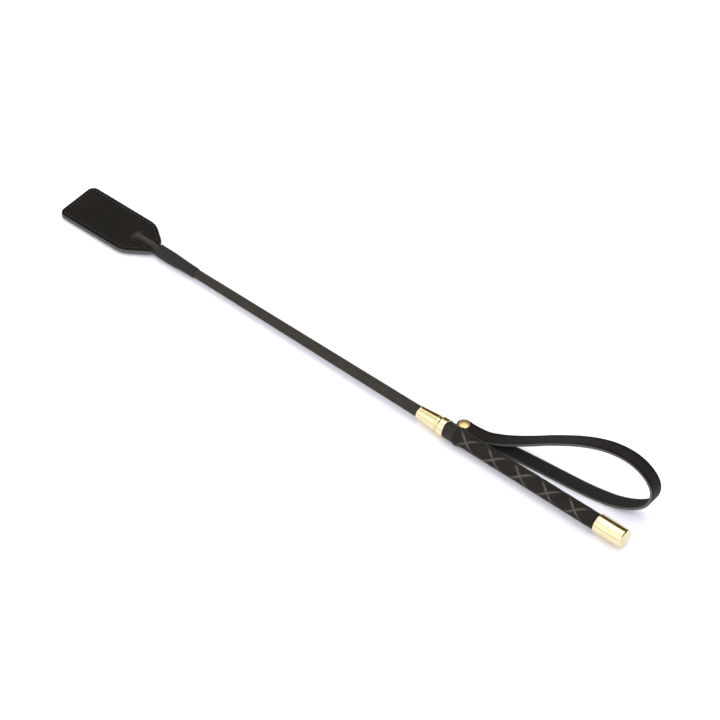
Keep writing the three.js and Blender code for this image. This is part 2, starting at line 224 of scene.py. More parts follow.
def pole_faces(rings, around):
    """Faces of rings of points with a pole before the first (index 0) and after the last."""
    quads = grid_faces(rings, around, closed_columns=True) + 1
    j = np.arange(around)
    k = (j + 1) % around
    last = 1 + (rings - 1) * around
    front = np.stack([np.zeros_like(j), 1 + j, 1 + k], axis=-1)
    back = np.stack([np.full_like(j, 1 + rings * around), last + k, last + j], axis=-1)
    return quads.tolist() + front.tolist() + back.tolist()


def signed_volume(points, faces):
    """Six times the volume inside the faces: positive when they point outwards."""
    total = 0.0
    for face in faces:
        a = points[face[0]]
        for k in range(1, len(face) - 1):
            total += np.dot(a, np.cross(points[face[k]], points[face[k + 1]]))
    return total


def quad_volume(points, quads):
    """The same for an array of quads."""
    a, b, c, d = (points[quads[:, k]] for k in range(4))
    return np.einsum("ij,ij->", a, np.cross(b, c)) + np.einsum("ij,ij->", a, np.cross(c, d))


def make_piece(name, points, faces, material, attributes=None, uv=None):
    """A smooth mesh object from points in the frame, its faces turned outwards, with its finish."""
    points = np.asarray(points, float).reshape(-1, 3)
    middle = points - points.mean(axis=0)
    if isinstance(faces, np.ndarray):
        if quad_volume(middle, faces) < 0:
            faces = faces[:, ::-1]
        faces = faces.tolist()
    elif signed_volume(middle, faces) < 0:
        faces = [face[::-1] for face in faces]
    mesh = bpy.data.meshes.new(name)
    mesh.from_pydata(points.tolist(), [], faces)
    for key, values in (attributes or {}).items():
        layer = mesh.attributes.new(key, "FLOAT", "POINT")
        layer.data.foreach_set("value", np.asarray(values, np.float32).ravel())
    if uv is not None:
        loops = np.empty(len(mesh.loops), np.int32)
        mesh.loops.foreach_get("vertex_index", loops)
        chart = mesh.uv_layers.new(name="Chart")
        chart.data.foreach_set("uv", np.asarray(uv, np.float32).reshape(-1, 2)[loops].ravel())
    mesh.polygons.foreach_set("use_smooth", np.ones(len(mesh.polygons), bool))
    mesh.materials.append(material)
    mesh.update()
    piece = bpy.data.objects.new(name, mesh)
    bpy.context.scene.collection.objects.link(piece)
    return piece


def smoothstep(low, high, x):
    t = np.clip((x - low) / (high - low), 0, 1)
    return t * t * (3 - 2 * t)


def smooth_min(a, b, width):
    """The smaller of a and b, rounded where they are within width of each other."""
    h = np.maximum(width - np.abs(a - b), 0) / width
    return np.minimum(a, b) - h * h * width / 4


def smooth_max(a, b, width):
    return -smooth_min(-a, -b, width)


def bell(x, width):
    """1 at x = 0, falling smoothly to nothing a few widths away."""
    return np.exp(-((x / width) ** 2))


def rounded(outline, closed, run=1.5, arc_steps=7):
    """Points along an outline of (x, r, rounding) corners: an arc of that rounding at each corner, and
    straight runs cut into short lengths, with one close to each arc so that its shading stays put."""
    count = len(outline)
    points = []
    for i, (x, r, rounding) in enumerate(outline):
        here = np.array([x, r], float)
        if rounding <= 0 or (not closed and i in (0, count - 1)):
            points.append(here)
            continue
        before = np.array(outline[i - 1][:2], float) - here
        after = np.array(outline[(i + 1) % count][:2], float) - here
        u, w = before / np.linalg.norm(before), after / np.linalg.norm(after)
        half = math.acos(np.clip(u @ w, -1, 1)) / 2
        middle = here + (u + w) / np.linalg.norm(u + w) * rounding / math.sin(half)
        first = here + u * rounding / math.tan(half) - middle
        last = here + w * rounding / math.tan(half) - middle
        turn = math.pi - 2 * half
        for t in np.linspace(0, 1, arc_steps):
            mixed = (math.sin((1 - t) * turn) * first + math.sin(t * turn) * last) / math.sin(turn)
            points.append(middle + mixed)
    fine = []
    pairs = list(zip(points, points[1:] + points[:1]))
    for a, b in pairs if closed else pairs[:-1]:
        length = np.linalg.norm(b - a)
        fine.append(a)
        if length > 0.5:
            cuts = np.concatenate([[0.12], np.linspace(0.12, length - 0.12, max(2, int(length / run)))[1:]])
            fine.extend(a + (b - a) * cut / length for cut in cuts)
    if not closed:
        fine.append(points[-1])
    return np.array(fine)


def turned(name, outline, place, material, closed=True, around=96):
    """A body turned about an axis: the outline's (x, r) points carried round it. A closed outline has a
    bore, and an open one starts and ends on the axis."""
    profile = rounded(outline, closed)
    angle = np.linspace(0, 2 * math.pi, around, endpoint=False)
    rings = profile if closed else profile[1:-1]
    x, r = rings[:, :1], rings[:, 1:]
    points = place(x, r * np.cos(angle), r * np.sin(angle)).reshape(-1, 3)
    if closed:
        faces = grid_faces(len(rings), around, closed_rows=True, closed_columns=True)
        return make_piece(name, points, faces, material)
    ends = place(profile[[0, -1], 0], np.zeros(2), np.zeros(2))
    points = np.concatenate([ends[:1], points, ends[1:]])
    return make_piece(name, points, pole_faces(len(rings), around), material)


# ---- shader nodes ----------------------------------------------------------------------------------


class Value:
    """A shader socket that arithmetic works on: each operation adds a Math node."""

    def __init__(self, look, socket):
        self.look = look
        self.socket = socket

    def maths(self, operation, *others):
        node = self.look.node("ShaderNodeMath", {"operation": operation}, dict(enumerate((self, *others))))
        return Value(self.look, node.outputs[0])

    def __add__(self, other):
        return self.maths("ADD", other)

    __radd__ = __add__

    def __mul__(self, other):
        return self.maths("MULTIPLY", other)

    __rmul__ = __mul__

    def __sub__(self, other):
        return self.maths("SUBTRACT", other)

    def __rsub__(self, other):
        return self * -1 + other

    def above(self, low, high):
        """0 below low, 1 above high, smooth between."""
        settings = {"interpolation_type": "SMOOTHSTEP"}
        inputs = {"Value": self, "From Min": low, "From Max": high}
        node = self.look.node("ShaderNodeMapRange", settings, inputs)
        return Value(self.look, node.outputs[0])

    def sine(self):
        return self.maths("SINE")


class Look:
    """A node tree being written, for a material or the world."""

    def __init__(self, tree):
        self.tree = tree
        tree.nodes.clear()

    def node(self, kind, settings=None, inputs=None):
        """One node: its settings first, then the values or links of its sockets."""
        node = self.tree.nodes.new(kind)
        for key, value in (settings or {}).items():
            if key == "stops":
                self.set_stops(node.color_ramp, value)
            else:
                setattr(node, key, value)
        for key, value in (inputs or {}).items():
            if isinstance(value, Value):
                value = value.socket
            if isinstance(value, bpy.types.NodeSocket):
                self.tree.links.new(value, node.inputs[key])
            else:
                node.inputs[key].default_value = value
        return node

    @staticmethod
    def set_stops(ramp, stops):
        while len(ramp.elements) > len(stops):
            ramp.elements.remove(ramp.elements[-1])
        while len(ramp.elements) < len(stops):
            ramp.elements.new(1.0)
        for element, (position, colour) in zip(ramp.elements, stops):
            element.position = position
            element.color = (*colour, 1.0)

    def place(self):
        return self.node("ShaderNodeTexCoord").outputs["Object"]

    def chart(self):
        return self.node("ShaderNodeUVMap", {"uv_map": "Chart"}).outputs["UV"]

    def attribute(self, name):
        return Value(self, self.node("ShaderNodeAttribute", {"attribute_name": name}).outputs["Fac"])

    def parts(self, vector):
        """The X, Y and Z of a vector."""
        node = self.node("ShaderNodeSeparateXYZ", inputs={0: vector})
        return [Value(self, socket) for socket in node.outputs]

    def stretched(self, vector, scale):
        return self.node("ShaderNodeMapping", inputs={"Vector": vector, "Scale": scale}).outputs[0]

    def noise(self, vector, size, detail=3.0, rough=0.55):
        """Cloudy noise with features about that many metres across."""
        inputs = {"Vector": vector, "Scale": 1 / size, "Detail": detail, "Roughness": rough}
        return Value(self, self.node("ShaderNodeTexNoise", inputs=inputs).outputs["Fac"])

    def pebbles(self, vector, size):
        """Distance to the nearest border between rounded cells about that many metres across."""
        settings = {"feature": "DISTANCE_TO_EDGE"}
        inputs = {"Vector": vector, "Scale": 1 / size}
        return Value(self, self.node("ShaderNodeTexVoronoi", settings, inputs).outputs["Distance"])

    def mix(self, factor, a, b):
        """Colour a where the factor is 0 and b where it is 1."""
        sides = {}
        for key, colour in ((6, a), (7, b)):
            sides[key] = (*colour, 1.0) if isinstance(colour, tuple) else colour
        node = self.node("ShaderNodeMix", {"data_type": "RGBA"}, {0: factor, **sides})
        return node.outputs[2]

    def bump(self, height, distance, strength):
        inputs = {"Height": height, "Distance": distance, "Strength": strength}
        return self.node("ShaderNodeBump", inputs=inputs).outputs[0]


def shade(colour, factor):
    """A colour made lighter or darker."""
    return tuple(min(1.0, c * factor) for c in colour)


def finish_material(name, write):
    """A material whose surface is a Principled shader with the inputs that write(look) returns."""
    material = bpy.data.materials.new(name)
    material.use_nodes = True
    look = Look(material.node_tree)
    shader = look.node("ShaderNodeBsdfPrincipled", inputs=write(look))
    look.node("ShaderNodeOutputMaterial", inputs={"Surface": shader.outputs[0]})
    return material


def leather_material(name, colour, edge, gloss, grain=0.0008, masks=(), specular=0.3):
    """Smooth leather: fine pebbled grain, cloudy dye, paler and rougher cut edges. Masks list
    (attribute, colour, roughness) for stretches that differ, each painted over the last."""

    red, green, blue = colour
    olive = (red * 0.85, green * 1.15, blue * 0.95)

    def write(look):
        place = look.place()
        cloud = look.noise(place, 0.018, 4)
        dye = look.noise(place, 0.009, 3)
        fine = look.noise(place, 0.0012, 3)
        pores = look.pebbles(place, grain).above(0.0, 0.16)
        base = look.mix(cloud.above(0.35, 0.7), shade(colour, 0.8), shade(colour, 1.3))
        base = look.mix(dye.above(0.5, 0.62) * 0.8, base, olive)
        base = look.mix((1 - pores) * 0.5, base, shade(colour, 0.45))
        rough = gloss + cloud * 0.14 + (1 - pores) * 0.12
        for attribute, tone, tone_rough in masks:
            mask = look.attribute(attribute) * (0.75 + fine * 0.5)
            mask = mask.maths("MINIMUM", 1.0)
            base = look.mix(mask, base, tone)
            rough = rough + mask * (tone_rough - gloss)
        cut = look.attribute("cut_edge")
        fibres = look.noise(look.stretched(place, (0.35, 0.35, 2.2)), 0.0005, 2)
        base = look.mix(cut, base, look.mix(fibres, shade(edge, 0.6), shade(edge, 1.35)))
        height = (pores * 0.7 + fine * 0.5) * (1 - cut) + fibres * cut * 1.6
        return {
            "Base Color": base,
            "Roughness": (rough + cut * 0.25).maths("MINIMUM", 0.95),
            "Specular IOR Level": specular,
            "Normal": look.bump(height, 0.00009, 0.8),
        }

    return finish_material(name, write)


def braid_material(colour):
    """Twisted nylon yarns: three threads in each strand, on the chart's strand coordinates."""

    def write(look):
        u, v, _ = look.parts(look.chart())
        over = look.attribute("strand")
        first, second = (u + v) * (2 * math.pi * 3), (u - v) * (2 * math.pi * 3)
        threads = first.sine() * over + second.sine() * (1 - over)
        relief = look.attribute("relief")
        cloud = look.noise(look.place(), 0.012, 3)
        fuzz = look.noise(look.place(), 0.0004, 2)
        # painted light and shade: the strands are painted lighter where they stand high and darker in the
        # hollows between them, and the gaps between the threads darker
        base = look.mix(relief.above(0.15, 0.9), shade(colour, 0.25), shade(colour, 1.6))
        base = look.mix((0.5 - threads * 0.5) * 0.45, base, shade(colour, 0.4))
        base = look.mix(cloud.above(0.4, 0.75) * 0.35, base, shade(colour, 1.9))
        return {
            "Base Color": base,
            "Roughness": 0.55 + fuzz * 0.2,
            "Specular IOR Level": 0.18,
            "Normal": look.bump(threads * 0.6 + fuzz * 0.4, 0.00008, 0.8),
        }

    return finish_material("braided_nylon", write)


def sleeve_material(colour):
    """Matt shrink sleeve: a faint orange peel and faint drawn lines along it."""

    def write(look):
        place = look.place()
        peel = look.noise(place, 0.0011, 2)
        drawn = look.noise(look.stretched(place, (0.04, 1.0, 1.0)), 0.0007, 2)
        cloud = look.noise(place, 0.01, 3)
        return {
            "Base Color": look.mix(cloud, shade(colour, 0.8), shade(colour, 1.25)),
            "Roughness": 0.5 + peel * 0.16,
            "Specular IOR Level": 0.16,
            "Normal": look.bump(peel * 0.6 + drawn * 0.5, 0.00006, 0.7),
        }

    return finish_material("shrink_sleeve", write)


def thread_material(colour):
    """Waxed sewing thread with a fine twist."""

    def write(look):
        place = look.place()
        x, y, z = look.parts(place)
        twist = ((x + y * 0.8 + z * 0.6) * (2 * math.pi / 0.0006)).sine()
        fuzz = look.noise(place, 0.0005, 2)
        return {
            "Base Color": look.mix(fuzz, shade(colour, 0.7), shade(colour, 1.6)),
            "Roughness": 0.5 + fuzz * 0.2,
            "Specular IOR Level": 0.35,
            "Normal": look.bump(twist, 0.00004, 0.6),
        }

    return finish_material("waxed_thread", write)


def brass_material(name, colour, polish, along):
    """Lacquered brass: faint drawn lines, cloudy handling marks and a few fine scratches."""

    def write(look):
        place = look.place()
        drawn = look.noise(look.stretched(place, along), 0.0006, 3)
        marks = look.noise(place, 0.006, 4)
        scratches = look.noise(look.stretched(place, (0.3, 2.0, 2.0)), 0.0011, 5, 0.75).above(0.66, 0.74)
        base = look.mix(marks.above(0.4, 0.8), colour, shade(colour, 0.9))
        return {
            "Base Color": base,
            "Metallic": 1.0,
            "Roughness": polish + marks * 0.07 + scratches * 0.10,
            "Normal": look.bump(drawn * 0.5 + scratches * 0.2, 0.000012, 0.5),
        }

    return finish_material(name, write)


def rod_material():
    """Resin-bound glass fibre: long pale fibres in a greenish resin."""

    def write(look):
        fibres = look.noise(look.stretched(look.place(), (0.02, 1.0, 1.0)), 0.0004, 3)
        return {
            "Base Color": look.mix(fibres, (0.42, 0.43, 0.24), (0.66, 0.64, 0.45)),
            "Roughness": 0.3 + fibres * 0.2,
            "Normal": look.bump(fibres, 0.00005, 0.6),
        }

    return finish_material("glass_fibre", write)


def wood_material():
    """Beech turned along the grain: long streaks and short dark flecks."""

    def write(look):
        grain = look.noise(look.stretched(look.place(), (0.05, 1.0, 1.0)), 0.0016, 5)
        flecks = look.noise(look.stretched(look.place(), (0.25, 1.0, 1.0)), 0.0007, 2).above(0.62, 0.7)
        base = look.mix(grain, (0.36, 0.21, 0.11), (0.58, 0.39, 0.22))
        return {
            "Base Color": look.mix(flecks * 0.5, base, (0.2, 0.1, 0.05)),
            "Roughness": 0.55 + grain * 0.2,
            "Normal": look.bump(grain, 0.00008, 0.6),
        }

    return finish_material("turned_beech", write)


# ---- the flap --------------------------------------------------------------------------------------


class Flap:
    """The flap's shape as functions of the station s and of v, from -1 on the near edge to 1 on the far
    edge. All lengths are millimetres, heights from the crop's axis."""

    def __init__(self, sizes):
        self.sizes = sizes
        self.neck = AXIS.span("neck_sleeve")[0]
        self.end = self.neck + 7.0
        self.top = sizes.interface + sizes.ply
        self.bottom = sizes.interface - sizes.ply
        self.round = 0.5                        # rounding of the leather's cut edges
        self.tip = AXIS.span("core_rod")[0] + 1.0
        self.seams = {
            "edge": (self.edge_seam(), sizes.edge_stitch),
            "pocket": (self.pocket_seam(), sizes.pocket_stitch),
        }

    def straight_half(self, s, side):
        """Half width on a side, below 0 for the near one, without the rounded outer corners: a nearly
        straight edge, the shoulder's line and the neck, each running smoothly into the next."""
        sizes = self.sizes
        pairs = zip(sizes.near_side, sizes.far_side)
        outer, inner, shoulder = (np.where(np.asarray(side) > 0, far, near) for near, far in pairs)
        edge = outer + (inner - outer) * s / shoulder
        slope = inner - sizes.shoulder_slope * (s - shoulder)
        return smooth_max(smooth_min(edge, slope, 4.7), sizes.neck_half, 4.0)

    def half(self, s, side):
        """Half width: the outer corners are quarter circles."""
        r = self.sizes.corner
        ahead = np.clip(r - s, 0, r)
        return self.straight_half(s, side) - r + np.sqrt(r * r - ahead * ahead)

    def lean(self, s, side):
        """How much closer the outline is, measured square to it, than straight across."""
        slope = (self.straight_half(s + 0.1, side) - self.straight_half(s - 0.1, side)) / 0.2
        return 1 / np.sqrt(1 + slope * slope)

    def depth(self, s, y):
        """Distance in from the outline, as for a rectangle with rounded corners."""
        r = self.sizes.corner
        side = (self.straight_half(s, y) - np.abs(y)) * self.lean(s, y)
        a, b = np.maximum(r - s, 0), np.maximum(r - side, 0)
        near = (a > 0) | (b > 0)
        return np.where(near, r - np.hypot(a, b), np.minimum(s, side))

    def pocket_half(self, s):
        """Half width of the pocket's seam: it draws in with the neck."""
        return np.minimum(self.sizes.pocket_half, self.half(s, -1) - 1.9)

    def hump(self, s, y):
        """The leather's rise over the rod, from 0 to 1: a cosine with a broadened top across it, and
        rounded ahead of the tip."""
        away = np.hypot(y, np.maximum(self.tip - s, 0))
        return (0.5 + 0.5 * np.cos(math.pi * np.clip(away / self.sizes.hump_half, 0, 1))) ** 0.7

    def rod_room(self, s, y, fit=2.4):
        """Half height of the room that the rod needs at y."""
        ahead = np.maximum(self.tip - 1 - s, 0)
        return np.sqrt(np.maximum(fit * fit - y * y - ahead * ahead, 0))

    def grooves(self, s, y):
        """Where the seams pull the leather in along their lines, from 0 to 1."""
        edge = bell(self.depth(s, y) - self.sizes.inset, 0.6)
        edge = edge * (1 - smoothstep(self.neck - 14, self.neck - 8, s))
        ahead = np.minimum(s - self.tip, 0)
        pocket = bell(np.hypot(y, ahead) - self.pocket_half(s), 0.7)
        pocket = pocket * (1 - smoothstep(self.neck - 4, self.neck, s))
        return np.maximum(edge, pocket)

    def pleats(self, s, y):
        """Short slanting tucks where the pocket's stitches gather the leather beside the hump: narrow
        valleys one stitch apart, longest at the near side, that run down the hump's flank to the seam."""
        phase = (s - self.tip + 0.45 * np.abs(y)) / self.sizes.pocket_stitch
        valley = (0.5 + 0.5 * np.cos(2 * math.pi * phase)) ** 1.5
        flank = bell(np.abs(y) - self.pocket_half(s) + 1.9, 2.6) * np.where(y < 0, 1.0, 0.5)
        inside = smoothstep(self.tip - 1, self.tip + 2, s) * (1 - smoothstep(self.neck - 5, self.neck - 2, s))
        return valley * flank * inside

    def holes(self, s, y):
        """Needle holes, from 0 to 1: round dimples between the stitches of every seam."""
        dimples = np.zeros(np.shape(y))
        for (line_s, line_y), pitch in self.seams.values():
            at_s, at_y, _ = self.spaced(line_s, line_y, pitch, 0.0)
            for hole_s, hole_y in zip(at_s, at_y):
                dimples = np.maximum(dimples, bell(np.hypot(s - hole_s, y - hole_y), 0.85))
        return dimples

    def surface(self, s, v, upper, outside):
        """(y, z) of one face of a ply. The flat plate turns into half a tube round the rod at the neck,
        whose radius is 4.9 outside and 2.8 inside."""
        sizes = self.sizes
        y = v * self.half(s, v)
        sign = 1 if upper else -1
        if outside:
            d = np.clip(self.depth(s, y), 0, self.round)
            face = self.top if upper else self.bottom
            z = face - sign * (self.round - np.sqrt(self.round**2 - (self.round - d) ** 2))
            pillow = smoothstep(0, 9, self.depth(s, y)) * 0.3 - 0.3 * self.grooves(s, y)
            z = z + sign * pillow
            if upper:
                z = z + (sizes.hump - self.top - 0.3) * self.hump(s, y) - 0.9 * self.pleats(s, y)
            tube = 4.9
        else:
            z = np.full_like(y, sizes.interface + sign * 0.06)
            room = self.rod_room(s, y)
            z = np.where(room > 0, sign * np.maximum(sign * z, room), z)
            tube = 2.8
        reach = math.pi / 2 + sign * math.asin(-sizes.interface / tube)
        angle = v * reach
        tube_y, tube_z = tube * np.sin(angle), sign * tube * np.cos(angle)
        wrap = smoothstep(self.neck - 9, self.neck, s)
        return (1 - wrap) * y + wrap * tube_y, (1 - wrap) * z + wrap * tube_z

    def grid(self):
        """Stations and v values, close together where the outline and the seams turn."""
        r = self.sizes.corner
        corner = r * (1 - np.cos(np.linspace(0, math.pi / 2, 30)))
        plain = np.arange(r + 0.5, self.end, 0.4)
        s = np.concatenate([corner, plain, [self.end]])[:, None]
        edge = np.array([
            0, 0.05, 0.12, 0.22, 0.35, 0.5, 0.8, 1.3, 1.9, 2.4,
            2.8, 3.1, 3.35, 3.6, 3.85, 4.1, 4.4, 4.8, 5.4, 6.3,
        ])
        near, far = (half - edge * np.minimum(1, half / 11.0) for half in (self.half(s, -1), self.half(s, 1)))
        inner = np.linspace(0, 1, 65)[None, 1:-1]
        inner = -near[:, -1:] + (near[:, -1:] + far[:, -1:]) * inner
        y = np.concatenate([-near, inner, far[:, ::-1]], axis=1)
        s = np.broadcast_to(s, y.shape)
        return s, y / self.half(s, y)

    def ply(self, upper):
        """Points, faces and masks of one ply: an outer and an inner sheet, and the cut edge between them."""
        s, v = self.grid()
        y = v * self.half(s, v)
        holes = self.holes(s, y)
        rows, columns = s.shape
        sheets = [np.stack([s, *self.surface(s, v, upper, outside)], axis=-1) for outside in (True, False)]
        hole_depth = 0.35 if upper else -0.35
        sheets[0][..., 2] -= hole_depth * holes
        index = np.arange(rows * columns).reshape(rows, columns)
        loop = np.concatenate([index[0, :-1], index[:-1, -1], index[-1, :0:-1], index[:0:-1, 0]])
        rim_out, rim_in = (sheet.reshape(-1, 3)[loop] for sheet in sheets)
        forward = np.roll(rim_out, -1, axis=0) - np.roll(rim_out, 1, axis=0)
        outward = np.stack([-forward[:, 1], forward[:, 0], np.zeros(len(loop))], axis=-1)
        outward /= np.linalg.norm(outward, axis=1, keepdims=True)
        outward *= np.sign(outward[0] @ np.array([-1.0, 0, 0]))
        steps, bulge = (0.12, 0.5, 0.88), 0.16
        swell = [rim_out + (rim_in - rim_out) * t + outward * bulge * math.sin(math.pi * t) for t in steps]
        points = np.concatenate([sheets[0].reshape(-1, 3), sheets[1].reshape(-1, 3), *swell])
        size, n = rows * columns, len(loop)
        rings = [loop, *(2 * size + n * k + np.arange(n) for k in range(len(steps))), loop + size]
        sheet_faces = grid_faces(rows, columns)
        faces = [sheet_faces, sheet_faces[:, ::-1] + size]
        for a, b in zip(rings, rings[1:]):
            faces.append(np.stack([a, np.roll(a, -1), np.roll(b, -1), b], axis=-1))
        cut = np.zeros(len(points))
        cut[2 * size:] = 1
        cut[loop] = 0.6
        cut[loop + size] = 0.6
        groove, worn = np.zeros(len(points)), np.zeros(len(points))
        # painted shade: the needle holes and the seam lines are painted dark
        dark = np.maximum(holes, self.grooves(s, y) * 0.4)
        if upper:
            pleats = self.pleats(s, y)
            # painted shade: the pleats' tucks and a band along the hump's far foot are painted dark as well
            far_foot_shade = bell(y - self.pocket_half(s) + 1.4, 2.0) * smoothstep(self.tip - 2, self.tip + 2, s)
            dark = np.maximum(dark, np.maximum(pleats, far_foot_shade))
            # painted highlight: the hump's crown is painted a lighter brown, less so in the pleats
            worn[:size] = (self.hump(s, y) ** 1.5 * (1 - pleats)).ravel()
        groove[:size] = dark.ravel()
        return points, np.concatenate(faces), {"cut_edge": cut, "groove": groove, "worn": worn}

    def edge_seam(self):
        """The edge seam's line in the flap's plane: down one side, round the outer corners and back."""
        sizes = self.sizes
        r = sizes.corner - sizes.inset
        sides = []
        for side in (-1, 1):
            s = np.linspace(self.neck - 10, sizes.corner, 120)
            y = self.straight_half(s, side) - sizes.inset / self.lean(s, side)
            turn = np.linspace(0, math.pi / 2, 12)[1:]
            corner_s = sizes.corner - r * np.sin(turn)
            corner_y = self.straight_half(sizes.corner, side) - sizes.corner + r * np.cos(turn)
            sides.append((np.concatenate([s, corner_s]), side * np.concatenate([y, corner_y])))
        (near_s, near_y), (far_s, far_y) = sides
        return np.concatenate([near_s, far_s[::-1]]), np.concatenate([near_y, far_y[::-1]])

    def pocket_seam(self):
        """The U round the rod's tip."""
        side_s = np.linspace(self.neck - 3, self.tip, 40)
        side_y = self.pocket_half(side_s)
        turn = np.linspace(0, math.pi, 40)[1:-1]
        s = np.concatenate([side_s, self.tip - self.sizes.pocket_half * np.sin(turn), side_s[::-1]])
        y = np.concatenate([-side_y, -self.sizes.pocket_half * np.cos(turn), side_y[::-1]])
        return s, y

    @staticmethod
    def spaced(s, y, pitch, start):
        """Points one stitch apart along a line, from that part of a stitch on, as s and y, and the
        stitch's true length."""
        travelled = np.concatenate([[0], np.cumsum(np.hypot(np.diff(s), np.diff(y)))])
        count = int(round(travelled[-1] / pitch))
        length = travelled[-1] / count
        at = (np.arange(count) + start) * length
        return np.interp(at, travelled, s), np.interp(at, travelled, y), length

    def stitches(self, seam, upper):
        """A row of stitches on a ply: each is a short cord along the seam, thinner and lower towards its
        ends, where it goes through the leather, and turned a little off the line."""
        (s, y), pitch = self.seams[seam]
        rings, around = 7, 8
        spots = []
        for shift in (0, -0.1, 0.1):
            a, b, length = self.spaced(s, y, pitch, 0.5 + shift)
            spots.append(np.stack([a, *self.surface(a, b / self.half(a, b), upper, True)], axis=-1))
        spot, before, after = spots
        count = len(spot)
        along = (after - before) / np.linalg.norm(after - before, axis=1, keepdims=True)
        side = np.cross(np.array([0.0, 0.0, 1.0 if upper else -1.0]), along)
        side /= np.linalg.norm(side, axis=1, keepdims=True)
        up = np.cross(along, side)
        slant = math.radians(11)
        straight = along
        along = straight * math.cos(slant) + side * math.sin(slant)
        side = side * math.cos(slant) - straight * math.sin(slant)
        t = np.linspace(0, math.pi, rings + 2)[1:-1]
        angle = np.linspace(0, 2 * math.pi, around, endpoint=False)
        thick = self.sizes.thread * np.sin(t) ** 0.45
        reach = -0.40 * length * np.cos(t)
        rise = 0.34 * np.sin(t) - 0.18 + self.sizes.thread * 0.3

        def each(vector):
            return vector[:, None, None, :]

        body = (
            each(spot)
            + each(along) * reach[None, :, None, None]
            + each(side) * (thick[:, None] * np.cos(angle))[None, :, :, None]
            + each(up) * (rise[:, None] + thick[:, None] * np.sin(angle))[None, :, :, None]
        )
        ends = [spot + along * k * 0.43 * length - up * 0.25 for k in (-1, 1)]
        points = np.concatenate([ends[0][:, None], body.reshape(count, -1, 3), ends[1][:, None]], axis=1)
        one = pole_faces(rings, around)
        faces = [[index + points.shape[1] * k for index in face] for k in range(count) for face in one]
        return points.reshape(-1, 3), faces


def bend_with_flap(piece):
    """Bakes the piece's transform into its mesh. The stretch about the hinge is worked out but not used, so
    the piece does not bend.
    """
    start, end = (AXIS.place(HINGE + d, 0.0, 0.0) for d in (-11.0, 8.0))
    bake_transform(piece)


class CROP_OT_flap(Operator):
    """Make both plies of the flap, with the hump over the rod's tip and the cut edges"""

    bl_idname = "crop.flap"
    bl_label = "Flap"

    def execute(self, context):
        colours = context.scene.crop.colours
        flap = Flap(context.scene.crop.flap)
        base = tuple(colours.flap)
        # painted light: the first mask paints a lighter brown highlight on the hump, the second paints shade
        # near black into the needle holes, seam lines, pleats and the hump's far foot
        masks = [("worn", (0.050, 0.037, 0.027), 0.45), ("groove", shade(base, 0.1), 0.9)]
        edge = tuple(colours.edge)
        material = leather_material("flap_leather", base, edge, 0.52, masks=masks, specular=0.12)
        for layer, upper in (("top", True), ("bottom", False)):
            points, faces, attributes = flap.ply(upper)
            placed = AXIS.place(*points.T)
            piece = make_piece(f"flap_{layer}_ply", placed, faces, material, attributes)
            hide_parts(f"flap_{layer}_blade", f"flap_{layer}_root")
            bend_with_flap(piece)
        return {"FINISHED"}


class CROP_OT_stitching(Operator):
    """Make the sewn stitches of the edge seam and of the rod's pocket, on both faces of the flap"""

    bl_idname = "crop.stitching"
    bl_label = "Stitching"

    def execute(self, context):
        flap = Flap(context.scene.crop.flap)
        material = thread_material(tuple(context.scene.crop.colours.thread))
        for layer, upper in (("top", True), ("bottom", False)):
            for seam in flap.seams:
                points, faces = flap.stitches(seam, upper)
                placed = AXIS.place(*points.T)
                piece = make_piece(f"{seam}_stitches_{layer}", placed, faces, material)
                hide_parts(f"{seam}_seam_{layer}_thread")
                bend_with_flap(piece)
        return {"FINISHED"}


# ---- the shaft -------------------------------------------------------------------------------------


